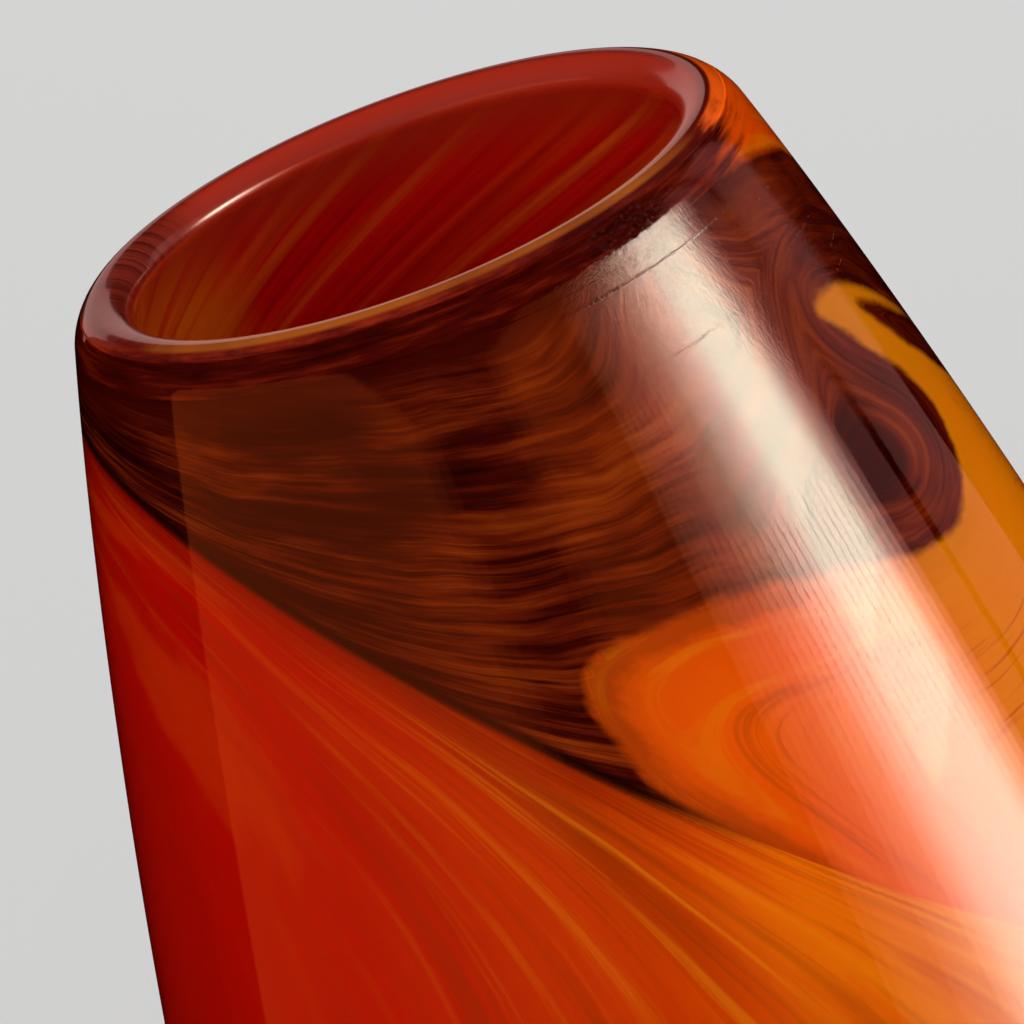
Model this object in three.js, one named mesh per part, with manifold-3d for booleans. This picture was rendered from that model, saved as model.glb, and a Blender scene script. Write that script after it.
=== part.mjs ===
// Hand blown cased-glass vase, standing upright on its ground foot.
// Units are millimetres, +Z is up, and the origin is the centre of the resting face.
//
// The vase is four glass layers and a rim wrap, each blown or trailed over the one inside it:
//   inner_lining   red glass, the first bubble, which makes the inside wall and the thick floor
//   body_overlay   orange-red glass round the body and under the floor
//   neck_overlay   brown streaked glass round the neck, dipped on at a slant
//   clear_casing   clear glass over everything outside, ground flat underneath
//   lip_wrap       dark red glass trailed round the mouth and melted round
import * as THREE from "three";
import * as BufferGeometryUtils from "three/addons/utils/BufferGeometryUtils.js";
import Module from "manifold-3d";

const wasm = await Module();
wasm.setup();

// Driving dimensions.
const HEIGHT = 240;
const MOUTH_RADIUS = 38;
const MOUTH_EDGE_DEPTH = 3.2;
const CREST_RADIUS = 42.1;
const SHOULDER_RADIUS = 46.75;
const SHOULDER_DEPTH = 4.5;
const SHOULDER_SLOPE = 0.332;
const BELLY_RADIUS = 81.2;
const BELLY_HEIGHT = 78;
const FOOT_RADIUS = 46;
const FOOT_ROUNDING = 4;
const RESTING_RADIUS = 40.5;
const PUNT_RADIUS = 24;
const PUNT_DEPTH = 1.8;
const WALL = 8.4;
const FLOOR = 18;
const BAND_HEIGHT_ON_AXIS = 177.3;
const BAND_TILT = Math.PI / 4;
const GAP = 0.3;

// How far each layer's outer skin stands inside the vase's own, and over its resting plane.
const OVERLAY = { inset: 2.5, rise: 5.3 };
const LINING = { inset: 4.6, rise: 7.4 };
const CAVITY = { inset: WALL, rise: FLOOR, bowl: 14 };

// How thick the outer two layers are in the wall and under the floor.
const CASING_THICKNESS = { wall: 2.2, floor: 5 };
const OVERLAY_THICKNESS = { wall: 1.8, floor: 1.8 };

// How far each stretch of the outline runs on along its tangent before it bends away.
const CREST_PULL = 1.9;
const SHOULDER_PULL = 2;
const WALL_TOP_PULL = 34.5;
const WALL_BELLY_PULL = 34;
const LOWER_BELLY_PULL = 36;
const FOOT_PULL = { out: 9.4, up: 11 };

// The one bend in the rounded foot edge, as shares of the edge's width and height.
const FOOT_BEND = { width: 0.4, height: 0.3 };

// How late the cavity's round bottom draws in: a higher power keeps the wall straight for longer.
const BOWL_POWER = 6;

// Where the shoulder's curve passes from the lip wrap to the casing, from 0 at the crest to 1.
const LIP_END = 0.46;
const CASING_START = 0.5;
const LIP_SEAT_SLOPE = 0.48;
const LIP_UNDERCUT = 0.6;

// Facets: segments round the axis, and steps along each stretch of the outline.
const AROUND = 36;
const WALL_STEPS = 10;
const LOWER_STEPS = 8;
const ROUND_STEPS = 4;

// Points closer than this are one point, and this block is larger than the whole vase.
const MERGE_DISTANCE = 1e-4;
const BLOCK_SIZE = 4 * HEIGHT;

const GLASS = {
  lining: { color: 0x8c1208, roughness: 0.08, metalness: 0 },
  lip: { color: 0x5a0f10, roughness: 0.06, metalness: 0 },
  band: { color: 0x3a1608, roughness: 0.08, metalness: 0 },
  body: { color: 0xd23a08, roughness: 0.08, metalness: 0 },
  casing: { color: 0xf6efe6, roughness: 0.04, metalness: 0, transparent: true, opacity: 0.35 },
};

function bezier(points) {
  return new THREE.CubicBezierCurve(...points.map(([r, z]) => new THREE.Vector2(r, z)));
}

// The outer outline from the lip's crest to the foot: a rounded shoulder, a wall that opens
// steadily to the belly, and a lower body that draws in to the foot.
const shoulder = bezier([
  [CREST_RADIUS, HEIGHT],
  [CREST_RADIUS + CREST_PULL, HEIGHT],
  [SHOULDER_RADIUS - SHOULDER_PULL * SHOULDER_SLOPE, HEIGHT - SHOULDER_DEPTH + SHOULDER_PULL],
  [SHOULDER_RADIUS, HEIGHT - SHOULDER_DEPTH],
]);
const wall = bezier([
  [SHOULDER_RADIUS, HEIGHT - SHOULDER_DEPTH],
  [SHOULDER_RADIUS + WALL_TOP_PULL * SHOULDER_SLOPE, HEIGHT - SHOULDER_DEPTH - WALL_TOP_PULL],
  [BELLY_RADIUS, BELLY_HEIGHT + WALL_BELLY_PULL],
  [BELLY_RADIUS, BELLY_HEIGHT],
]);
const lower = bezier([
  [BELLY_RADIUS, BELLY_HEIGHT],
  [BELLY_RADIUS, BELLY_HEIGHT - LOWER_BELLY_PULL],
  [FOOT_RADIUS + FOOT_PULL.out, FOOT_ROUNDING + FOOT_PULL.up],
  [FOOT_RADIUS, FOOT_ROUNDING],
]);

// Points along part of a curve, both ends included.
function stretch(curve, from, to, steps) {
  const points = [];
  for (let i = 0; i <= steps; i += 1) {
    points.push(curve.getPoint(from + ((to - from) * i) / steps));
  }
  return points;
}

// The outer skin from the shoulder's end down to the flat of the foot.
const outerSkin = [
  ...stretch(wall, 0, 1, WALL_STEPS),
  ...stretch(lower, 0, 1, LOWER_STEPS).slice(1),
  new THREE.Vector2(
    RESTING_RADIUS + FOOT_BEND.width * (FOOT_RADIUS - RESTING_RADIUS),
    FOOT_BEND.height * FOOT_ROUNDING,
  ),
  new THREE.Vector2(RESTING_RADIUS, 0),
];

// A skin inside the outer one: stepped in by `inset`, with its floor lifted to `rise` and the
// heights below the belly squeezed to suit. `bowl` draws the floor in further, as a round bottom.
function innerSkin({ inset, rise, bowl = 0 }) {
  const points = outerSkin.map(({ x, y }) => {
    if (y >= BELLY_HEIGHT) return new THREE.Vector2(x - inset, y);
    const down = 1 - y / BELLY_HEIGHT;
    const squeezed = rise + y * (1 - rise / BELLY_HEIGHT);
    return new THREE.Vector2(x - inset - bowl * down ** BOWL_POWER, squeezed);
  });
  points.push(new THREE.Vector2(0, rise));
  return points;
}

// The same skin with its top moved to the slanted seat under the lip wrap.
function seatUnderLip(skin) {
  const [, second] = skin;
  const top = skin[0].clone();
  top.y = HEIGHT - MOUTH_EDGE_DEPTH - 2 * GAP - (top.x - MOUTH_RADIUS) * LIP_SEAT_SLOPE;
  return [top, second, ...skin.slice(2)];
}

// A closed outline, turned about the axis into a solid of revolution with +Z up.
function revolve(outline) {
  const geometry = new THREE.LatheGeometry(outline, AROUND);
  geometry.rotateX(Math.PI / 2);
  return geometry;
}

// An open vessel between two skins that both end on the axis.
function vessel(outer, inner) {
  return revolve([...outer].reverse().concat(inner));
}

function toSolid(geometry) {
  const bare = geometry.clone();
  bare.deleteAttribute("normal");
  bare.deleteAttribute("uv");
  const merged = BufferGeometryUtils.mergeVertices(bare, MERGE_DISTANCE);
  return new wasm.Manifold(new wasm.Mesh({
    numProp: 3,
    vertProperties: Float32Array.from(merged.attributes.position.array),
    triVerts: Uint32Array.from(merged.index.array),
  }));
}

function toGeometry(solid) {
  const { vertProperties, triVerts } = solid.getMesh();
  const geometry = new THREE.BufferGeometry();
  geometry.setAttribute("position", new THREE.BufferAttribute(vertProperties, 3));
  geometry.setIndex(new THREE.BufferAttribute(triVerts, 1));
  geometry.computeVertexNormals();
  return geometry;
}

// A block whose lower face lies on the band's slanted edge, moved up by `lift`.
function spaceAboveBandEdge(lift) {
  const block = new THREE.BoxGeometry(BLOCK_SIZE, BLOCK_SIZE, BLOCK_SIZE);
  block.translate(0, 0, BLOCK_SIZE / 2 + lift);
  block.rotateY(BAND_TILT);
  block.translate(0, 0, BAND_HEIGHT_ON_AXIS);
  return toSolid(block);
}

function liningGeometry() {
  return vessel(seatUnderLip(innerSkin(LINING)), seatUnderLip(innerSkin(CAVITY)));
}

function overlaySolid() {
  const inner = {
    inset: OVERLAY.inset + OVERLAY_THICKNESS.wall,
    rise: OVERLAY.rise + OVERLAY_THICKNESS.floor,
  };
  return toSolid(vessel(seatUnderLip(innerSkin(OVERLAY)), seatUnderLip(innerSkin(inner))));
}

function neckOverlayGeometry() {
  return toGeometry(overlaySolid().intersect(spaceAboveBandEdge(GAP / 2)));
}

function bodyOverlayGeometry() {
  return toGeometry(overlaySolid().subtract(spaceAboveBandEdge(-GAP / 2)));
}

// The casing's underside is a flat ring with the polished hollow of the pontil inside it.
function casingGeometry() {
  const punt = [1, 0.5, 0].map((share) => (
    new THREE.Vector2(share * PUNT_RADIUS, (1 - share ** 2) * PUNT_DEPTH)
  ));
  const edge = stretch(shoulder, CASING_START, 1, ROUND_STEPS).slice(0, -1);
  const inner = { inset: CASING_THICKNESS.wall, rise: CASING_THICKNESS.floor };
  return vessel([...edge, ...outerSkin, ...punt], seatUnderLip(innerSkin(inner)));
}

// A bead from the mouth's edge over the crest to the shoulder, seated on the layers below.
function lipGeometry() {
  const mouthSide = new THREE.EllipseCurve(
    CREST_RADIUS, HEIGHT - MOUTH_EDGE_DEPTH,
    CREST_RADIUS - MOUTH_RADIUS, MOUTH_EDGE_DEPTH,
    Math.PI, Math.PI / 2, true,
  );
  const outerSide = stretch(shoulder, 0, LIP_END, ROUND_STEPS);
  const outerEdge = outerSide[outerSide.length - 1];
  const seatRadius = outerEdge.x - LIP_UNDERCUT;
  const seatDepth = MOUTH_EDGE_DEPTH + (seatRadius - MOUTH_RADIUS) * LIP_SEAT_SLOPE;
  const outline = [
    ...stretch(mouthSide, 0, 1, ROUND_STEPS),
    ...outerSide.slice(1),
    new THREE.Vector2(seatRadius, HEIGHT - seatDepth),
  ];
  outline.push(outline[0].clone());
  return revolve(outline.reverse());
}

function layer(name, geometry, glass) {
  const mesh = new THREE.Mesh(geometry, new THREE.MeshStandardMaterial(glass));
  mesh.name = name;
  return mesh;
}

const vase = new THREE.Group();
vase.add(
  layer("inner_lining", liningGeometry(), GLASS.lining),
  layer("body_overlay", bodyOverlayGeometry(), GLASS.body),
  layer("neck_overlay", neckOverlayGeometry(), GLASS.band),
  layer("clear_casing", casingGeometry(), GLASS.casing),
  layer("lip_wrap", lipGeometry(), GLASS.lip),
);

export default vase;
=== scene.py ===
"""Looks of the hand blown cased-glass vase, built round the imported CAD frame.

Every length is in metres, +Z is up, and the frame's origin is the centre of the resting face.
A turn is the angle round the axis in degrees, 0 facing the viewer (-Y) and growing towards +X.
A depth is measured down from the top of the lip. The colours lie on maps of turn against depth.
"""
import math

import bmesh
import bpy
import numpy as np
from mathutils import Matrix, Vector


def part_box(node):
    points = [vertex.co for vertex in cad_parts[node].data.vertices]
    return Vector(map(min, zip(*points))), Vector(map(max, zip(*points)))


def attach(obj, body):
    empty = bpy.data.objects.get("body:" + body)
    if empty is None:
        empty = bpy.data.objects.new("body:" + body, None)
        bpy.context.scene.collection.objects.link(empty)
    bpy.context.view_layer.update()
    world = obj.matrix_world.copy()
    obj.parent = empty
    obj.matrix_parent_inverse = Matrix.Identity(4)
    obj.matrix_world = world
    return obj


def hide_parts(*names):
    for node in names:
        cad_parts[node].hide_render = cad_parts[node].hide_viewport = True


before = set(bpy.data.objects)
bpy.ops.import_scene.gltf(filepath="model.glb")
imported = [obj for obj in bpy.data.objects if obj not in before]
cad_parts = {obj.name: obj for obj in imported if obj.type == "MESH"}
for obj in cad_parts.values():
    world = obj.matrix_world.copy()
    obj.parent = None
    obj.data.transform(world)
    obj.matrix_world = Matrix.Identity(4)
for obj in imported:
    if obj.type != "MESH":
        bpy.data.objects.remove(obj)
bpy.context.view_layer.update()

MM = 0.001

# Sizes that the frame gives.
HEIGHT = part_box("lip_wrap")[1][2]
BELLY_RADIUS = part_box("clear_casing")[1][0]

# The vase's outline, as in the CAD model.
MOUTH_RADIUS = 38 * MM
MOUTH_EDGE_DEPTH = 3.2 * MM
CREST_RADIUS = 42.1 * MM
SHOULDER_RADIUS = 46.75 * MM
SHOULDER_DEPTH = 4.5 * MM
SHOULDER_SLOPE = 0.332
BELLY_HEIGHT = 78 * MM
FOOT_RADIUS = 46 * MM
FOOT_ROUNDING = 4 * MM
RESTING_RADIUS = 40.5 * MM
PUNT_RADIUS = 24 * MM
PUNT_DEPTH = 1.8 * MM
BAND_HEIGHT_ON_AXIS = 177.3 * MM

# How far each stretch of the outline runs on along its tangent before it bends away.
CREST_PULL = 1.9 * MM
SHOULDER_PULL = 2 * MM
WALL_TOP_PULL = 34.5 * MM
WALL_BELLY_PULL = 34 * MM
LOWER_BELLY_PULL = 36 * MM
FOOT_PULL_OUT = 9.4 * MM
FOOT_PULL_UP = 11 * MM
FOOT_BEND = 3.4 * MM

# Where the shoulder's curve passes from the lip wrap to the casing, from 0 at the crest to 1.
LIP_END = 0.46

# Layers: how far each skin stands inside the vase's own, and over its resting plane.
CASING_THICKNESS = 2.2 * MM
CASING_FLOOR = 5 * MM
OVERLAY_INSET = 4.4 * MM
OVERLAY_FLOOR = 7.2 * MM
WALL = 8.4 * MM
FLOOR = 18 * MM
BOWL = 14 * MM
BOWL_POWER = 6
FUSED = 0.1 * MM

# The slanted seat under the lip wrap, and where the casing meets it.
SEAT_SLOPE = 0.48
SEAT_RADIUS = 44.5 * MM
SEAT_CLEARANCE = 0.3 * MM

# Mesh fineness: segments round the axis, where fine lines of colour need them and elsewhere, and
# points along each stretch of the outline.
AROUND = 360
AROUND_PLAIN = 300
SHOULDER_POINTS = 9
WALL_POINTS = 150
LOWER_POINTS = 90
FOOT_POINTS = 7
SHARP_ANGLE = math.radians(50)

# A length that counts as nothing.
TINY = 1e-7


# ---------------------------------------------------------------- outlines and solids

def bezier(points):
    """A function from an array of 0..1 to points of a cubic Bezier curve."""
    a, b, c, d = (np.array(p, float) for p in points)

    def at(t):
        t = np.asarray(t, float)[:, None]
        return (1 - t) ** 3 * a + 3 * (1 - t) ** 2 * t * b + 3 * (1 - t) * t * t * c + t ** 3 * d

    return at


SHOULDER = bezier([
    (CREST_RADIUS, HEIGHT),
    (CREST_RADIUS + CREST_PULL, HEIGHT),
    (SHOULDER_RADIUS - SHOULDER_PULL * SHOULDER_SLOPE, HEIGHT - SHOULDER_DEPTH + SHOULDER_PULL),
    (SHOULDER_RADIUS, HEIGHT - SHOULDER_DEPTH),
])
WALL_CURVE = bezier([
    (SHOULDER_RADIUS, HEIGHT - SHOULDER_DEPTH),
    (SHOULDER_RADIUS + WALL_TOP_PULL * SHOULDER_SLOPE, HEIGHT - SHOULDER_DEPTH - WALL_TOP_PULL),
    (BELLY_RADIUS, BELLY_HEIGHT + WALL_BELLY_PULL),
    (BELLY_RADIUS, BELLY_HEIGHT),
])
LOWER_CURVE = bezier([
    (BELLY_RADIUS, BELLY_HEIGHT),
    (BELLY_RADIUS, BELLY_HEIGHT - LOWER_BELLY_PULL),
    (FOOT_RADIUS + FOOT_PULL_OUT, FOOT_ROUNDING + FOOT_PULL_UP),
    (FOOT_RADIUS, FOOT_ROUNDING),
])


def outside():
    """The outer outline from the lip wrap's edge down to the resting ring."""
    shoulder = SHOULDER(np.linspace(LIP_END, 1, SHOULDER_POINTS))
    wall = WALL_CURVE(np.linspace(0, 1, WALL_POINTS))
    lower = LOWER_CURVE(np.linspace(0, 1, LOWER_POINTS))
    t = np.linspace(0, 1, FOOT_POINTS)[:, None]
    edge = (1 - t) ** 2 * np.array([(FOOT_RADIUS, FOOT_ROUNDING)])
    edge = edge + 2 * (1 - t) * t * np.array([(FOOT_RADIUS - FOOT_BEND, 0)])
    edge = edge + t ** 2 * np.array([(RESTING_RADIUS, 0)])
    return np.vstack([shoulder, wall[1:], lower[1:], edge[1:]])


def skin(inset, rise, bowl=0.0):
    """An outline inside the outer one, from the lip to the axis: stepped in by inset, with its
    floor lifted to rise and drawn in by bowl."""
    points = outside()
    radius, height = points[:, 0], points[:, 1]
    down = np.clip(1 - height / BELLY_HEIGHT, 0, 1)
    squeezed = np.where(height < BELLY_HEIGHT, rise + height * (1 - rise / BELLY_HEIGHT), height)
    inner = np.stack([radius - inset - bowl * down ** BOWL_POWER, squeezed], 1)
    return np.vstack([inner, [(0, rise)]])


def below(outline, depth_at):
    """The outline's points that lie under the seat, with its top moved onto the seat."""
    seat = HEIGHT - depth_at(outline[:, 0])
    kept = outline[outline[:, 1] < seat - SEAT_CLEARANCE]
    top = kept[0][0]
    return np.vstack([[(top, HEIGHT - depth_at(top))], kept])


def lip_seat(radius):
    """How deep the slanted seat under the lip wrap lies at a radius."""
    return MOUTH_EDGE_DEPTH + (radius - MOUTH_RADIUS) * SEAT_SLOPE


def fused_seat(radius):
    """The same seat for the colour layers, whose tops are fused into the glass over them."""
    return lip_seat(radius) - FUSED


def lathe(name, outline, around=AROUND):
    """A closed solid of revolution from a closed outline of (radius, height) points."""
    turns = np.linspace(0, 2 * math.pi, around, endpoint=False)
    verts = []
    rings = []
    for radius, height in outline:
        count = 1 if radius < TINY else around
        rings.append(range(len(verts), len(verts) + count))
        verts += [(radius * math.sin(t), -radius * math.cos(t), height) for t in turns[:count]]
    faces = []
    for upper, under in zip(rings, rings[1:] + rings[:1]):
        if len(upper) == len(under) == 1:
            continue
        for i in range(around):
            j = (i + 1) % around
            ends = [upper[i % len(upper)], under[i % len(under)]]
            ends += [under[j % len(under)], upper[j % len(upper)]]
            faces.append(list(dict.fromkeys(ends)))
    mesh = bpy.data.meshes.new(name)
    mesh.from_pydata(verts, [], faces)
    return finished(name, mesh)


def shade(mesh):
    """Shades a mesh smooth, but for its true corners."""
    mesh.shade_smooth()
    mesh.set_sharp_from_angle(angle=SHARP_ANGLE)


def finished(name, mesh):
    """An object with its faces turned outwards and shaded smooth."""
    bm = bmesh.new()
    bm.from_mesh(mesh)
    bmesh.ops.recalc_face_normals(bm, faces=bm.faces)
    bm.to_mesh(mesh)
    bm.free()
    shade(mesh)
    obj = bpy.data.objects.new(name, mesh)
    bpy.context.scene.collection.objects.link(obj)
    return obj


def cut_on_band_edge(obj, keep_above):
    """Cuts the solid with the neck band's slanted plane and closes the cut."""
    slant = Vector((1, 0, 1)).normalized()
    bm = bmesh.new()
    bm.from_mesh(obj.data)
    cut = bmesh.ops.bisect_plane(
        bm, geom=bm.verts[:] + bm.edges[:] + bm.faces[:], dist=TINY,
        plane_co=(0, 0, BAND_HEIGHT_ON_AXIS), plane_no=slant,
        clear_outer=not keep_above, clear_inner=keep_above,
    )
    edges = [e for e in cut["geom_cut"] if isinstance(e, bmesh.types.BMEdge)]
    bmesh.ops.bridge_loops(bm, edges=edges)
    bmesh.ops.recalc_face_normals(bm, faces=bm.faces)
    bm.to_mesh(obj.data)
    bm.free()
    shade(obj.data)
    return obj


# ---------------------------------------------------------------- maps of the colours

# Outlines of the orange glass in the neck band: (turn in degrees, depth in millimetres).
ORANGE_LOBE = [
    (12, 78), (5, 68), (1, 59), (-1, 50), (3, 46.5), (15, 46.5), (30, 50), (42, 54.5), (50, 58),
    (60, 58), (66, 54.5), (69.5, 48.5), (68, 42), (62, 34), (57, 27.5), (57, 25.5), (62, 25.5),
    (70, 28.5), (80, 36), (92, 46), (112, 56), (140, 66), (165, 80), (165, 160), (70, 160),
    (36, 124), (22, 96),
]
ORANGE_SHOULDER = [
    (47, -8), (53, 4.5), (64, 6.5), (80, 11), (92, 16), (112, 17), (135, 9), (150, -8),
]
ORANGE_BACK = [(-172, 30), (-150, 22), (-120, 24), (-98, 17), (-108, 31), (-135, 39), (-160, 40)]
# A brown tongue in the orange: its blunt tip, its far end, its girth and how much is shaved off it.
TONGUE_TIP = (67, 30)
TONGUE_END = (112, 68)
TONGUE_GIRTH = 7
TONGUE_SHAVED = 0.5
# How far the brown filaments sink towards the right, and the eddies that bend them: turn, depth,
# half width, half height and push (mm).
FLOW_TILT = 0.17
EDDIES = [
    (30, 9, 9, 12, 13), (54, 44, 12, 18, 12), (8, 30, 16, 6, -2),
    (120, 34, 18, 9, 12), (-160, 52, 20, 10, 12), (-100, 34, 16, 8, -8),
]
# How far, and within what distance, the filaments are drawn out along the band's edge.
EDGE_DRAG = 13
EDGE_DRAG_REACH = 5
# How softly the lines beside the orange glass turn its corners, how far they follow its rim, how
# closely they lie, the flow that they start from, and the turns between which the brown joins in.
SWIRL_SOFTNESS = 3.5
HUG_REACH = 12
HUG_PITCH = 1.1
HUG_START = 40
HUG_TURNS = (25, 45)
# How the body's streaks fan out below the band's edge.
FAN_START = 1.2
FAN_SPREAD = 0.022
# How the lining's streaks wind up the inside, in degrees for each millimetre.
LINING_TWIST = 2.7
# The map's scale, as the radius of the roll it is on, and where its seam lies.
MAP_RADIUS = 60
SEAM_TURN = -120


class Surface:
    """Where each vertex of a piece lies on the vase, in degrees and millimetres. The band's edge
    is a plane that sinks to the right at 45 degrees."""

    def __init__(self, obj):
        self.mesh = obj.data
        flat = np.empty(len(self.mesh.vertices) * 3, np.float32)
        self.mesh.vertices.foreach_get("co", flat)
        self.x, self.y, z = (flat.reshape(-1, 3) / MM).T
        self.radius = np.hypot(self.x, self.y)
        self.turn = np.degrees(np.arctan2(self.x, -self.y))
        self.depth = HEIGHT / MM - z
        edge_depth = (HEIGHT - BAND_HEIGHT_ON_AXIS) / MM
        self.under_edge = (self.depth - edge_depth - self.x) / math.sqrt(2)
        self.along_edge = (self.depth - edge_depth + self.x) / math.sqrt(2)

    def keep(self, name, *values):
        """Stores one number or three for each vertex, for the material to read."""
        kind = "FLOAT" if len(values) == 1 else "FLOAT_VECTOR"
        attribute = self.mesh.attributes.new(name, kind, "POINT")
        data = np.stack(values, 1).astype(np.float32).ravel()
        attribute.data.foreach_set("value" if kind == "FLOAT" else "vector", data)

    def keep_place(self):
        """Stores how far to the right (-1 to 1) and how deep each vertex is, and where it lies
        across and along the band's edge."""
        self.keep("place", self.x / self.radius.clip(1), self.depth, self.y)
        self.keep("edge", self.under_edge, self.along_edge, self.depth)

    def map_place(self):
        """Places on the unrolled map, in millimetres, with its seam behind the vase."""
        turn = np.where(self.turn < SEAM_TURN, self.turn + 360, self.turn)
        return np.radians(turn) * MAP_RADIUS, self.depth

    def eddies(self):
        """How far the eddies push the filaments at each vertex."""
        push = np.zeros(len(self.turn))
        for turn, depth, half_width, half_height, strength in EDDIES:
            off = (self.turn - turn + 180) % 360 - 180
            across = np.radians(off) * self.radius / half_width
            push += strength * np.exp(-across ** 2 - ((self.depth - depth) / half_height) ** 2)
        return push


def smooth_loop(points, steps=6):
    """A closed curve on the map through (turn, depth) points."""
    p = np.array([(math.radians(turn) * MAP_RADIUS, depth) for turn, depth in points])
    before, after, beyond = np.roll(p, 1, 0), np.roll(p, -1, 0), np.roll(p, -2, 0)
    curve = []
    for t in np.linspace(0, 1, steps, endpoint=False):
        pull = (2 * before - 5 * p + 4 * after - beyond) * t * t
        curl = (-before + 3 * p - 3 * after + beyond) * t ** 3
        curve.append((2 * p + (after - before) * t + pull + curl) / 2)
    return np.stack(curve, 1).reshape(-1, 2)


def inside_by(surface, points):
    """How far inside a closed outline each vertex is (outside it is below zero), exactly and
    as a soft distance without corners."""
    u, v = surface.map_place()
    loop = smooth_loop(points)
    nearest = np.full(len(u), 1e9)
    closeness = np.zeros(len(u))
    inside = np.zeros(len(u), bool)
    for (u0, v0), (u1, v1) in zip(loop, np.roll(loop, -1, 0)):
        du, dv = u1 - u0, v1 - v0
        t = np.clip(((u - u0) * du + (v - v0) * dv) / (du * du + dv * dv), 0, 1)
        distance = np.hypot(u - u0 - t * du, v - v0 - t * dv)
        nearest = np.minimum(nearest, distance)
        closeness += math.hypot(du, dv) / SWIRL_SOFTNESS * np.exp(-distance / SWIRL_SOFTNESS)
        if dv:
            crosses = (v0 > v) != (v1 > v)
            inside ^= crosses & (u < u0 + (v - v0) / dv * du)
    soft = SWIRL_SOFTNESS * (math.log(2) - np.log(closeness.clip(1e-30)))
    return np.where(inside, nearest, -nearest), np.where(inside, soft, -soft)


def inside_tongue(surface):
    """How far inside the brown tongue each vertex is; it swells behind its tip and then tapers."""
    u, v = surface.map_place()
    u0, v0 = math.radians(TONGUE_TIP[0]) * MAP_RADIUS, TONGUE_TIP[1]
    du, dv = math.radians(TONGUE_END[0]) * MAP_RADIUS - u0, TONGUE_END[1] - v0
    t = np.clip(((u - u0) * du + (v - v0) * dv) / (du * du + dv * dv), 0, 1)
    half_width = TONGUE_GIRTH * np.sqrt(t) * (1 - t ** 3) - TONGUE_SHAVED
    return half_width - np.hypot(u - u0 - t * du, v - v0 - t * dv)


def map_neck(obj):
    """Stores the flow of the brown filaments, the curl of the lines in the orange glass, and how
    far inside the orange glass each vertex of the neck layer is."""
    surface = Surface(obj)
    orange, swirl = inside_by(surface, ORANGE_LOBE)
    for points in (ORANGE_SHOULDER, ORANGE_BACK):
        other, other_swirl = inside_by(surface, points)
        orange, swirl = np.maximum(orange, other), np.maximum(swirl, other_swirl)
    tongue = inside_tongue(surface)
    orange, swirl = np.minimum(orange, -tongue), np.minimum(swirl, -tongue)
    flow = surface.depth - FLOW_TILT * surface.x + surface.eddies()
    flow += EDGE_DRAG * np.exp(np.minimum(surface.under_edge, 0) / EDGE_DRAG_REACH)
    round_rim = -swirl * HUG_PITCH + HUG_START
    hug = np.exp(-(swirl / HUG_REACH) ** 2)
    curl = flow * (1 - hug) + round_rim * hug
    beside = hug * np.interp(surface.turn, HUG_TURNS, (0, 1))
    flow = flow * (1 - beside) + round_rim * beside
    surface.keep("flow", flow, surface.x, surface.y)
    surface.keep("curl", curl, surface.x, surface.y)
    surface.keep("orange", orange)
    surface.keep("swirl", swirl)
    surface.keep_place()


def map_body(obj):
    """Stores the flow of the streaks that fan out below the band's edge."""
    surface = Surface(obj)
    below_edge = np.maximum(surface.under_edge, 0)
    fan = np.log(below_edge + FAN_START) - FAN_SPREAD * surface.along_edge
    surface.keep("flow", fan, surface.x, surface.y)
    surface.keep_place()


def map_twist(obj, degrees_per_mm=0.0):
    """Stores a place round the axis that turns with depth, so that streaks wind as a helix, and
    the true place."""
    surface = Surface(obj)
    wound = np.radians(surface.turn - degrees_per_mm * surface.depth)
    surface.keep("twist", np.cos(wound) * MAP_RADIUS, np.sin(wound) * MAP_RADIUS, surface.depth)
    surface.keep("place", surface.x / MAP_RADIUS, surface.y / MAP_RADIUS, surface.depth)


# ---------------------------------------------------------------- materials

# How much light escapes from pigment under the clear casing, and how much the casing keeps back.
ESCAPES = 0.38
KEPT_BACK = 0.6
# How far along the band's edge its dark line lasts, and how ragged the orange glass's rim is (mm).
EDGE_SHADOW_LENGTH = 24
RIM_RAGGEDNESS = 2.8
# How far inside its rim the orange glass has run through its colours (mm).
ORANGE_DEPTH = 26.0


def linear(red, green, blue):
    """A colour given as 0..255 screen values, as linear light."""
    def one(value):
        value /= 255
        return value / 12.92 if value <= 0.04045 else ((value + 0.055) / 1.055) ** 2.4
    return one(red), one(green), one(blue)


def cased(red, green, blue):
    """The pigment that looks like a 0..255 colour once it is under the clear casing, which
    keeps back part of its light and so makes it look darker and purer."""
    return tuple(v / (ESCAPES + KEPT_BACK * v) for v in linear(red, green, blue))


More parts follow.
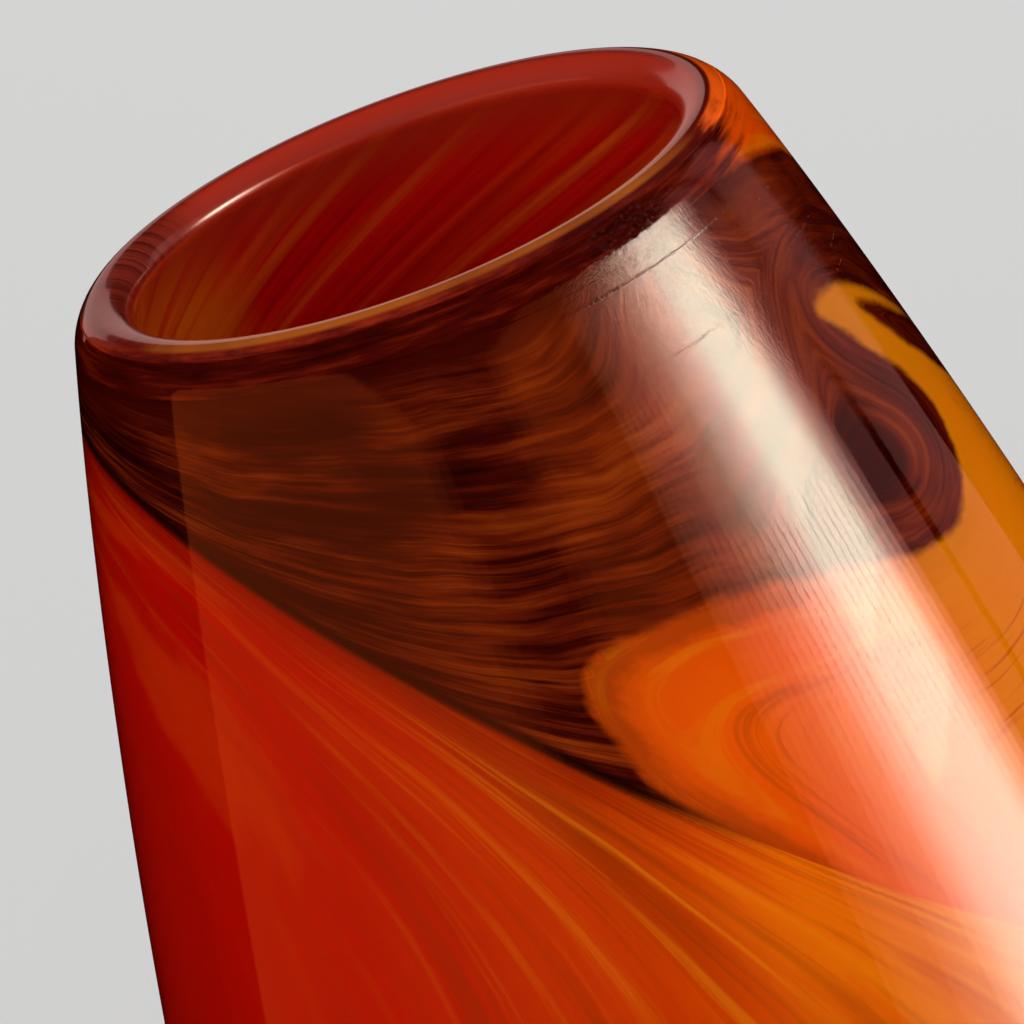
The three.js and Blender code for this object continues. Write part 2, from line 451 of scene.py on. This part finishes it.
class Paint:
    """A material's node tree: each call adds to it and gives back the result."""

    def __init__(self, name):
        self.material = bpy.data.materials.new(name)
        self.material.use_nodes = True
        self.tree = self.material.node_tree
        self.shader = self.tree.nodes["Principled BSDF"]

    def add(self, kind, inputs, output=0, **settings):
        made = self.tree.nodes.new("ShaderNode" + kind)
        for key, value in settings.items():
            setattr(made, key, value)
        for key, value in inputs.items():
            self.set(made.inputs[key], value)
        return made.outputs[output]

    def set(self, socket, value):
        if isinstance(value, bpy.types.NodeSocket):
            self.tree.links.new(value, socket)
        else:
            socket.default_value = value

    def read(self, name, part=None):
        """A stored attribute, or one of its three numbers."""
        made = self.tree.nodes.new("ShaderNodeAttribute")
        made.attribute_name = name
        if part is None:
            return made.outputs["Vector"]
        return self.add("SeparateXYZ", {0: made.outputs["Vector"]}, part)

    def number(self, name):
        """A stored attribute that is one number."""
        made = self.tree.nodes.new("ShaderNodeAttribute")
        made.attribute_name = name
        return made.outputs["Fac"]

    def math(self, operation, a, b=0.0):
        return self.add("Math", {0: a, 1: b}, operation=operation)

    def plus(self, a, b):
        return self.math("ADD", a, b)

    def times(self, a, b):
        return self.math("MULTIPLY", a, b)

    def stretch(self, vector, x, y, z):
        return self.add("VectorMath", {0: vector, 1: (x, y, z)}, operation="MULTIPLY")

    def noise(self, vector, scale=1.0, detail=4.0, roughness=0.55):
        return self.add("TexNoise", {
            "Vector": vector, "Scale": scale, "Detail": detail, "Roughness": roughness,
        })

    def rise(self, value, start, end, low=0.0, high=1.0):
        """Goes smoothly from low to high as a value goes from start to end."""
        return self.add("MapRange", {
            "Value": value, "From Min": start, "From Max": end, "To Min": low, "To Max": high,
        }, interpolation_type="SMOOTHSTEP")

    def ramp(self, value, stops):
        """A colour that runs through (place, colour) stops."""
        made = self.tree.nodes.new("ShaderNodeValToRGB")
        elements = made.color_ramp.elements
        while len(elements) < len(stops):
            elements.new(0.5)
        for element, (place, colour) in zip(elements, stops):
            element.position = place
            element.color = (*colour, 1)
        self.set(made.inputs[0], value)
        return made.outputs[0]

    def mix(self, share, first, second):
        colours = [(*c, 1) if isinstance(c, tuple) else c for c in (first, second)]
        return self.add("Mix", {0: share, 6: colours[0], 7: colours[1]}, 2, data_type="RGBA")

    def bump(self, height, distance, strength=1.0):
        made = self.add("Bump", {"Height": height, "Distance": distance, "Strength": strength})
        self.set(self.shader.inputs["Normal"], made)

    def warp(self, vector, amount, size):
        """Shifts the first number of a flow by slow noise, so that its lines waver."""
        slow = self.noise(self.stretch(vector, 0.6 / size, 1 / size, 1 / size), detail=2.0)
        shift = self.times(self.math("SUBTRACT", slow, 0.5), amount)
        return self.add("VectorMath", {0: vector, 1: self.add("CombineXYZ", {0: shift})})


def colour_under_casing(paint, colour, ripple):
    """Sets the surface of a colour layer that the casing is fused to: no gloss of its own."""
    paint.set(paint.shader.inputs["Base Color"], colour)
    paint.shader.inputs["Specular IOR Level"].default_value = 0
    paint.set(paint.shader.inputs["Roughness"], paint.rise(ripple, 0, 1, 0.35, 0.6))
    paint.bump(ripple, 0.05 * MM, 0.15)
    return paint.material


def edge_shadow(paint, colour):
    """The near-black line along the band's edge, which thins out along it."""
    across = paint.math("ABSOLUTE", paint.read("edge", 0))
    line = paint.rise(across, 0.15, 1.3, 0.95, 0.0)
    line = paint.times(line, paint.rise(paint.read("edge", 1), 0, EDGE_SHADOW_LENGTH, 1, 0))
    return paint.mix(line, colour, cased(16, 2, 1))


# Where across the neck its brown grows lighter or darker: from and to, and the change there.
NECK_TONES = [(-0.85, 0.3, -0.075, 0.0), (0.55, 0.7, 0.0, 0.035), (0.84, 0.95, 0.0, -0.09)]


def neck_glass():
    """Brown glass full of amber filaments, with orange glass swirled into it, and painted shade
    just under the lip.
    """
    paint = Paint("neck_glass")
    flow = paint.warp(paint.warp(paint.read("flow"), 4.0, 30.0), 1.0, 8.0)
    fine = paint.noise(paint.stretch(flow, 0.9, 0.04, 0.04), detail=8.0, roughness=0.64)
    broad = paint.noise(paint.stretch(flow, 0.13, 0.035, 0.035), detail=3.0, roughness=0.6)
    threads = paint.noise(paint.stretch(flow, 2.2, 0.06, 0.06), detail=4.0, roughness=0.6)
    side = paint.read("place", 0)
    tone = paint.plus(paint.times(fine, 0.45), paint.times(broad, 0.55))
    for start, end, low, high in NECK_TONES:
        tone = paint.plus(tone, paint.rise(side, start, end, low, high))
    brown = paint.ramp(tone, [
        (0.38, cased(26, 1, 1)), (0.45, cased(46, 4, 1)), (0.51, cased(72, 14, 2)),
        (0.57, cased(94, 27, 3)), (0.68, cased(128, 47, 8)),
    ])
    threads = paint.times(paint.rise(threads, 0.55, 0.72, 0, 0.45), paint.rise(broad, 0.38, 0.6))
    brown = paint.mix(threads, brown, cased(138, 50, 8))
    # Painted shade: the brown darkens towards near-black just under the lip.
    shade_under_lip = paint.rise(paint.read("place", 1), 7.0, 11.5, 0.85, 0.0)
    brown = paint.mix(shade_under_lip, brown, cased(46, 3, 1))
    ragged = paint.noise(paint.stretch(paint.read("edge"), 0.3, 0.12, 0), detail=5.0, roughness=0.6)
    ragged = paint.times(paint.math("SUBTRACT", ragged, 0.5), RIM_RAGGEDNESS)
    orange = orange_swirls(paint, ragged)
    inside = paint.plus(paint.number("orange"), ragged)
    colour = paint.mix(paint.rise(inside, -0.9, 0.9), brown, orange)
    return colour_under_casing(paint, edge_shadow(paint, colour), fine)


def orange_swirls(paint, ragged):
    """Orange glass: dull at its rim and red-orange within, golden to the right, with lines that
    follow its rim."""
    depth_in = paint.plus(paint.number("swirl"), ragged)
    body = paint.ramp(paint.math("DIVIDE", depth_in, ORANGE_DEPTH), [
        (0.0, cased(160, 48, 3)), (0.03, cased(214, 60, 2)), (0.07, cased(240, 64, 1)),
        (0.18, cased(252, 68, 1)), (0.50, cased(252, 80, 2)), (0.8, cased(246, 94, 3)),
    ])
    golden = paint.rise(paint.read("place", 0), 0.45, 0.8, 0, 0.85)
    body = paint.mix(golden, body, cased(244, 110, 4))
    curl = paint.warp(paint.read("curl"), 3.0, 30.0)
    lines = paint.noise(paint.stretch(curl, 0.55, 0.03, 0.03), detail=5.0, roughness=0.6)
    body = paint.mix(paint.rise(lines, 0.54, 0.68, 0, 0.55), body, cased(150, 48, 3))
    body = paint.mix(paint.rise(lines, 0.46, 0.34, 0, 0.35), body, cased(250, 112, 8))
    shoulder = paint.mix(paint.rise(lines, 0.4, 0.6), cased(238, 58, 0), cased(226, 84, 2))
    return paint.mix(paint.rise(paint.read("place", 1), 17, 12), body, shoulder)


def body_glass():
    """Red glass that turns orange to the right, with smoke in it, and with olive and golden
    streaks and one olive band drawn out below the neck band."""
    paint = Paint("body_glass")
    flow = paint.warp(paint.stretch(paint.read("flow"), 10, 1, 1), 5.0, 40.0)
    streaks = paint.noise(paint.stretch(flow, 0.62, 0.02, 0.02), detail=6.0, roughness=0.62)
    broad = paint.noise(paint.stretch(flow, 0.2, 0.02, 0.02), detail=2.0)
    side = paint.plus(paint.read("place", 0), paint.times(broad, 0.5))
    side = paint.times(paint.plus(side, 0.75), 0.5)
    base = paint.ramp(side, [
        (0.0, cased(150, 7, 1)), (0.10, cased(168, 6, 1)), (0.20, cased(178, 6, 1)),
        (0.30, cased(180, 24, 1)), (0.42, cased(190, 40, 1)), (0.53, cased(222, 58, 1)),
        (0.60, cased(252, 86, 1)), (0.72, cased(255, 100, 2)), (1.0, cased(246, 100, 3)),
    ])
    smoke = paint.noise(paint.stretch(flow, 0.16, 0.025, 0.025), detail=4.0, roughness=0.6)
    base = paint.mix(paint.rise(smoke, 0.52, 0.66, 0, 0.35), base, cased(206, 46, 2))
    base = paint.mix(paint.rise(smoke, 0.48, 0.34, 0, 0.35), base, cased(136, 4, 1))
    fan = paint.read("flow", 0)
    along = paint.read("edge", 1)
    near = paint.times(paint.rise(fan, 5.0, 1.7), paint.rise(along, -40, 12, 0.3, 1))
    olive = paint.times(paint.rise(streaks, 0.5, 0.66, 0, 0.9), near)
    olive = paint.times(olive, paint.rise(side, 0.42, 0.56, 1, 0.3))
    base = paint.mix(olive, base, cased(92, 34, 3))
    band = paint.times(paint.rise(fan, 1.5, 2.15), paint.rise(fan, 2.75, 2.25))
    band = paint.times(band, paint.rise(along, -35, 0, 0, 0.6))
    band = paint.times(band, paint.rise(side, 0.42, 0.56, 1, 0.25))
    base = paint.mix(band, base, cased(104, 36, 2))
    glow = paint.times(paint.rise(streaks, 0.47, 0.33, 0, 0.55), near)
    base = paint.mix(glow, base, cased(250, 114, 10))
    shade = paint.rise(paint.read("edge", 0), 0.5, 6.0, 0.45, 0.0)
    shade = paint.times(shade, paint.rise(along, -10, 25, 1, 0))
    base = paint.mix(shade, base, cased(70, 6, 1))
    return colour_under_casing(paint, edge_shadow(paint, base), streaks)


def lining_glass():
    """Cherry red glass, brightened as a painted glow of light through the wall, with amber streaks
    wound up the inside, ochre at the left, and a painted pink reflection under the far rim."""
    paint = Paint("lining_glass")
    wound = paint.read("twist")
    streaks = paint.noise(paint.stretch(wound, 0.12, 0.12, 0.02), detail=2.0, roughness=0.45)
    wisps = paint.noise(paint.stretch(wound, 0.2, 0.2, 0.03), detail=4.0, roughness=0.5)
    broad = paint.noise(paint.stretch(wound, 0.03, 0.03, 0.01), detail=2.0)
    # The red is the glass's own, made brighter as a painted glow of light through the wall.
    red = paint.ramp(wisps, [
        (0.3, linear(168, 1, 1)), (0.5, linear(196, 3, 1)), (0.72, linear(210, 20, 6)),
    ])
    amber = paint.ramp(wisps, [(0.35, linear(186, 44, 4)), (0.65, linear(222, 84, 20))])
    patches = paint.rise(broad, 0.42, 0.58, 0.25, 0.95)
    share = paint.times(paint.rise(streaks, 0.46, 0.63), patches)
    colour = paint.mix(share, red, amber)
    at_left = paint.rise(paint.read("place", 0), -0.36, -0.58)
    ochre = paint.times(at_left, paint.rise(streaks, 0.34, 0.48, 0.3, 1))
    colour = paint.mix(ochre, colour, linear(218, 98, 8))
    # Painted reflection: a pinkish sheen on the far inside wall, just under the rim.
    at_back = paint.rise(paint.read("place", 1), -0.1, 0.3)
    painted_reflection = paint.times(paint.rise(paint.read("place", 2), 15, 3.5, 0, 0.85), at_back)
    colour = paint.mix(painted_reflection, colour, linear(160, 34, 14))
    paint.set(paint.shader.inputs["Base Color"], colour)
    paint.set(paint.shader.inputs["Roughness"], paint.rise(wisps, 0.2, 0.8, 0.16, 0.30))
    paint.shader.inputs["Coat Weight"].default_value = 1
    paint.shader.inputs["Coat Roughness"].default_value = 0.06
    paint.bump(streaks, 0.3 * MM, 0.12)
    return paint.material


def lip_glass():
    """Dark red glass, melted smooth, with fine streaks across the bead and others drawn out round
    its outer side. In front it has an amber ring of painted glow, where light shines through
    it, and at the right it is orange outside."""
    paint = Paint("lip_glass")
    twist = paint.read("twist")
    outward = paint.number("outward")
    streaks = paint.noise(paint.stretch(twist, 0.6, 0.6, 0.05), detail=5.0, roughness=0.6)
    drawn = paint.noise(paint.stretch(twist, 0.05, 0.05, 0.7), detail=5.0, roughness=0.6)
    broad = paint.noise(paint.stretch(twist, 0.05, 0.05, 0.05), detail=2.0)
    colour = paint.mix(paint.rise(outward, -1.8, 0.4), linear(158, 34, 14), linear(92, 9, 3))
    streaked = paint.ramp(streaks, [(0.38, linear(72, 12, 6)), (0.62, linear(122, 30, 14))])
    at_left = paint.rise(paint.read("place", 0), -0.40, -0.58)
    colour = paint.mix(paint.times(at_left, paint.rise(outward, 1.0, 0.0)), colour, streaked)
    outer = paint.ramp(drawn, [
        (0.38, linear(58, 5, 2)), (0.52, linear(92, 13, 4)), (0.66, linear(136, 34, 9)),
    ])
    colour = paint.mix(paint.rise(outward, 1.0, 2.0), colour, outer)
    # Painted glow: an amber ring on the front of the lip, where light shines through it.
    front_glow = paint.times(paint.rise(outward, -2.8, -2.2), paint.rise(outward, 1.7, 1.1))
    front_glow = paint.times(front_glow, paint.rise(broad, 0.42, 0.6, 0.6, 0.95))
    in_front = paint.rise(paint.read("place", 1), -0.34, -0.48)
    colour = paint.mix(paint.times(front_glow, in_front), colour, linear(158, 78, 18))
    at_right = paint.plus(paint.number("side"), paint.times(drawn, 0.3))
    at_right = paint.times(paint.rise(at_right, 1.02, 1.12), paint.rise(outward, 0.6, 1.1))
    colour = paint.mix(at_right, colour, cased(226, 58, 1))
    fused = paint.rise(outward, 2.3, 2.5)
    paint.set(paint.shader.inputs["Base Color"], colour)
    paint.set(paint.shader.inputs["Roughness"], paint.rise(streaks, 0.3, 0.7, 0.14, 0.24))
    paint.set(paint.shader.inputs["Coat Weight"], paint.math("SUBTRACT", 1.0, fused))
    paint.set(paint.shader.inputs["Specular IOR Level"], paint.rise(fused, 0, 1, 0.5, 0))
    paint.set(paint.shader.inputs["Coat Roughness"], paint.rise(outward, -1.2, -2.8, 0.05, 0.18))
    paint.bump(streaks, 0.2 * MM, 0.05)
    return paint.material


def casing_glass():
    """Clear glass with fine pits and faint polishing lines round it, which break up and dull its
    reflections where it is worn: in patches, near the top and to the right."""
    paint = Paint("casing_glass")
    paint.shader.inputs["Base Color"].default_value = (1, 1, 1, 1)
    paint.shader.inputs["Transmission Weight"].default_value = 1
    paint.shader.inputs["IOR"].default_value = 1.5
    place = paint.add("TexCoord", {}, "Object")
    near_top = paint.rise(paint.add("SeparateXYZ", {0: place}, 2), 0.19, 0.225)
    to_right = paint.rise(paint.add("SeparateXYZ", {0: place}, 0), 0.005, 0.022)
    worn = paint.rise(paint.noise(place, scale=14, detail=2.0), 0.38, 0.55)
    worn = paint.times(paint.times(worn, near_top), to_right)
    pits = paint.noise(paint.stretch(place, 1, 1, 0.6), scale=2600, detail=2.0, roughness=0.6)
    lines = paint.noise(paint.stretch(place, 14, 14, 1100), detail=2.0)
    lines = paint.rise(lines, 0.6, 0.75)
    height = paint.plus(pits, paint.times(lines, 0.8))
    height = paint.times(height, paint.rise(worn, 0, 1, 0.05, 1))
    scratched = paint.plus(paint.rise(pits, 0.45, 0.65, 0, 0.16), paint.times(lines, 0.3))
    rough = paint.plus(paint.rise(pits, 0.3, 0.8, 0.02, 0.06), paint.times(scratched, worn))
    dulled = paint.plus(paint.rise(pits, 0.42, 0.62, 0, 0.3), paint.times(lines, 0.3))
    level = paint.math("SUBTRACT", 0.5, paint.times(dulled, worn))
    paint.set(paint.shader.inputs["Roughness"], rough)
    paint.set(paint.shader.inputs["Specular IOR Level"], level)
    paint.bump(height, 0.045 * MM, 0.5)
    return paint.material


# ---------------------------------------------------------------- pieces

def add_piece(obj, material, node):
    """Puts a finished piece into the frame in place of its CAD solid."""
    obj.data.materials.append(material)
    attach(obj, "root")
    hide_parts(node)


def overlay_outline():
    """The colour layer's closed outline, fused a little into the casing round it. Its hidden
    inner side takes every eighth point."""
    outer = below(skin(CASING_THICKNESS - FUSED, CASING_FLOOR - FUSED), fused_seat)
    inner = below(skin(OVERLAY_INSET, OVERLAY_FLOOR)[::8], fused_seat)
    return np.vstack([outer, inner[::-1]])


def make_neck():
    neck = cut_on_band_edge(lathe("neck_layer", overlay_outline()), keep_above=True)
    map_neck(neck)
    add_piece(neck, neck_glass(), "neck_overlay")


def make_body():
    body = cut_on_band_edge(lathe("body_layer", overlay_outline()), keep_above=False)
    map_body(body)
    add_piece(body, body_glass(), "body_overlay")


def make_lining():
    outer = below(skin(OVERLAY_INSET - FUSED, OVERLAY_FLOOR - FUSED)[::6], fused_seat)
    inner = below(skin(WALL, FLOOR, BOWL)[::2], fused_seat)
    lining = lathe("lining_layer", np.vstack([outer, inner[::-1]]), AROUND_PLAIN)
    map_twist(lining, LINING_TWIST)
    add_piece(lining, lining_glass(), "inner_lining")


def make_casing():
    inner = below(skin(CASING_THICKNESS, CASING_FLOOR)[::4], lip_seat)
    share = np.linspace(0, 1, 8)
    punt = np.stack([(1 - share) * PUNT_RADIUS, (1 - (1 - share) ** 2) * PUNT_DEPTH], 1)
    seat = [(SEAT_RADIUS, HEIGHT - lip_seat(SEAT_RADIUS))]
    casing = lathe("clear_skin", np.vstack([outside(), punt, inner[::-1], seat]), AROUND_PLAIN)
    add_piece(casing, casing_glass(), "clear_casing")


def make_lip():
    swing = np.linspace(0, math.pi / 2, 12)
    depth = MOUTH_EDGE_DEPTH
    mouth_side = np.stack([
        CREST_RADIUS - (CREST_RADIUS - MOUTH_RADIUS) * np.cos(swing),
        HEIGHT - depth + depth * np.sin(swing),
    ], 1)
    outer_side = SHOULDER(np.linspace(0, LIP_END, 10))[1:]
    seat_radius = SEAT_RADIUS + FUSED
    seat = [(seat_radius, HEIGHT - lip_seat(seat_radius))]
    lip = lathe("lip_bead", np.vstack([mouth_side, outer_side, seat]))
    map_twist(lip)
    surface = Surface(lip)
    surface.keep("outward", surface.radius - CREST_RADIUS / MM)
    surface.keep("side", surface.x / surface.radius)
    add_piece(lip, lip_glass(), "lip_wrap")


# ---------------------------------------------------------------- camera, light and floor

# Where the camera stands from the middle of the mouth, how it is rolled, how far aside and down it
# is moved in its own picture plane, and its lens and sensor in millimetres.
CAMERA_DISTANCE = 0.532
CAMERA_ELEVATION = math.radians(21.98)
CAMERA_ROLL = math.radians(21.27)
CAMERA_ASIDE = -0.0012
CAMERA_DOWN = 0.0445
CAMERA_LENS = 143.7
CAMERA_SENSOR = 36


def make_camera():
    """A long lens that looks down into the mouth, rolled so that the vase leans left."""
    back = Vector((0, -math.cos(CAMERA_ELEVATION), math.sin(CAMERA_ELEVATION)))
    right = Vector((1, 0, 0))
    up = back.cross(right)
    across = right * math.cos(CAMERA_ROLL) - up * math.sin(CAMERA_ROLL)
    upward = right * math.sin(CAMERA_ROLL) + up * math.cos(CAMERA_ROLL)
    lens = bpy.data.cameras.new("camera")
    lens.lens = CAMERA_LENS
    lens.sensor_width = CAMERA_SENSOR
    camera = bpy.data.objects.new("camera", lens)
    bpy.context.scene.collection.objects.link(camera)
    place = Matrix((across, upward, back)).transposed().to_4x4()
    place.translation = back * CAMERA_DISTANCE + right * CAMERA_ASIDE - up * CAMERA_DOWN
    place.translation += Vector((0, 0, HEIGHT))
    camera.matrix_world = place
    bpy.context.scene.camera = camera


# How far the panels stand from the vase, and the height that they face.
PANEL_DISTANCE = 1.6
PANEL_CENTRE = 0.85 * HEIGHT


def make_panel(name, azimuths, elevations, radiance, colour, reflected):
    """A soft panel that spans a range of azimuths (0 is the viewer's side, + to the right) and
    elevations, seen from the neck. It is either reflected in gloss, or it lights the colours."""
    azimuth, elevation = (math.radians(sum(span) / 2) for span in (azimuths, elevations))
    width, height = (
        2 * PANEL_DISTANCE * math.tan(math.radians(span[1] - span[0]) / 2)
        for span in (azimuths, elevations)
    )
    light = bpy.data.lights.new(name, "AREA")
    light.shape = "RECTANGLE"
    light.size = width
    light.size_y = height
    light.energy = radiance * width * height * math.pi
    light.color = colour
    panel = bpy.data.objects.new(name, light)
    bpy.context.scene.collection.objects.link(panel)
    out = Vector((
        math.sin(azimuth) * math.cos(elevation),
        -math.cos(azimuth) * math.cos(elevation),
        math.sin(elevation),
    ))
    panel.location = Vector((0, 0, PANEL_CENTRE)) + out * PANEL_DISTANCE
    panel.rotation_euler = out.to_track_quat("Z", "Y").to_euler()
    panel.visible_camera = False
    panel.visible_glossy = reflected
    panel.visible_diffuse = not reflected
    panel.visible_transmission = not reflected


# The tall window that the wall mirrors: its red, green and blue light at each azimuth.
STRIP_SPAN = (34, 90)
STRIP_STEP = 2
STRIP_ELEVATIONS = (-60, 15)
STRIP_RADIANCE = 1.1
STRIP_AZIMUTHS = (32, 44, 52, 60, 67, 77, 82, 88)
STRIP_LEVELS = (
    (0.2, 2.8, 6.0, 13.6, 16.0, 15.5, 9.0, 1.5),
    (0.1, 1.0, 3.2, 8.7, 10.5, 10.0, 5.2, 0.6),
    (0.0, 0.7, 2.2, 6.9, 9.0, 8.6, 4.2, 0.5),
)

# Nested panels, each narrower than the one before it, make one with a soft side.
SOFT_STEPS = (0, 1, 2)
VEIL_ELEVATIONS = (-60, 17)
VEIL_RADIANCE = 0.33
SIDE_ELEVATIONS = (-60, 30)
SIDE_RADIANCE = 0.75
SOFTBOX_ELEVATIONS = (0, 70)

GREENISH = (0.9, 2.1, 1.3)
AMBER = (1, 0.14, 0.02)
MAUVE = (0.8, 0.28, 0.25)
ROSE = (1, 0.58, 0.52)
WHITE = (1, 0.99, 0.98)
SURROUND_STRENGTH = 0.67
FLOOR_REACH = 4
FLOOR_GREY = 0.535


def make_window():
    """The window, as narrow panels side by side."""
    for azimuth in range(*STRIP_SPAN, STRIP_STEP):
        level = [np.interp(azimuth, STRIP_AZIMUTHS, levels) for levels in STRIP_LEVELS]
        span = (azimuth - STRIP_STEP / 2, azimuth + STRIP_STEP / 2)
        make_panel(f"strip_{azimuth}", span, STRIP_ELEVATIONS, STRIP_RADIANCE, level, True)


def make_soft_reflections():
    """The window's cooler top and the two wide amber veils in front."""
    for soft in SOFT_STEPS:
        azimuths = (62 + 2 * soft, 82 - 2 * soft)
        elevations = (4 * soft - 7, 15 - 3 * soft)
        make_panel(f"strip_top_{soft}", azimuths, elevations, 1, GREENISH, True)
        left = (-101, -15 + 3 * soft)
        right = (2 + 3 * soft, 54)
        make_panel(f"veil_left_{soft}", left, VEIL_ELEVATIONS, VEIL_RADIANCE, AMBER, True)
        make_panel(f"veil_right_{soft}", right, VEIL_ELEVATIONS, VEIL_RADIANCE, AMBER, True)


def make_surround():
    """An even pale surround that gloss doesn't show."""
    world = bpy.data.worlds.new("surround")
    bpy.context.scene.world = world
    world.use_nodes = True
    background = world.node_tree.nodes["Background"]
    background.inputs["Color"].default_value = (1, 1, 1, 1)
    background.inputs["Strength"].default_value = SURROUND_STRENGTH
    world.cycles_visibility.glossy = False


def make_studio():
    """Panels to be reflected, softboxes to light the colours, and the surround."""
    make_window()
    make_soft_reflections()
    make_panel("side_front", (86, 98.5), SIDE_ELEVATIONS, SIDE_RADIANCE, MAUVE, True)
    make_panel("side_back", (101, 124), SIDE_ELEVATIONS, SIDE_RADIANCE, MAUVE, True)
    make_panel("behind", (172, 208), (2, 23), 0.45, ROSE, True)
    make_panel("key", (-110, 10), SOFTBOX_ELEVATIONS, 0.8, WHITE, False)
    make_panel("fill", (70, 190), SOFTBOX_ELEVATIONS, 0.9, WHITE, False)
    make_surround()


def make_floor():
    """A wide pale floor that gloss doesn't show."""
    mesh = bpy.data.meshes.new("floor")
    signs = [(-1, -1), (1, -1), (1, 1), (-1, 1)]
    corners = [(x * FLOOR_REACH, y * FLOOR_REACH, 0) for x, y in signs]
    mesh.from_pydata(corners, [], [(0, 1, 2, 3)])
    floor = bpy.data.objects.new("floor", mesh)
    bpy.context.scene.collection.objects.link(floor)
    paint = Paint("floor")
    paint.shader.inputs["Base Color"].default_value = (FLOOR_GREY, FLOOR_GREY, FLOOR_GREY, 1)
    paint.shader.inputs["Roughness"].default_value = 0.9
    paint.shader.inputs["Specular IOR Level"].default_value = 0
    mesh.materials.append(paint.material)
    floor.visible_glossy = False


make_camera()
make_neck()
make_body()
make_lining()
make_casing()
make_lip()
make_studio()
make_floor()
bpy.context.scene.view_settings.view_transform = "Standard"
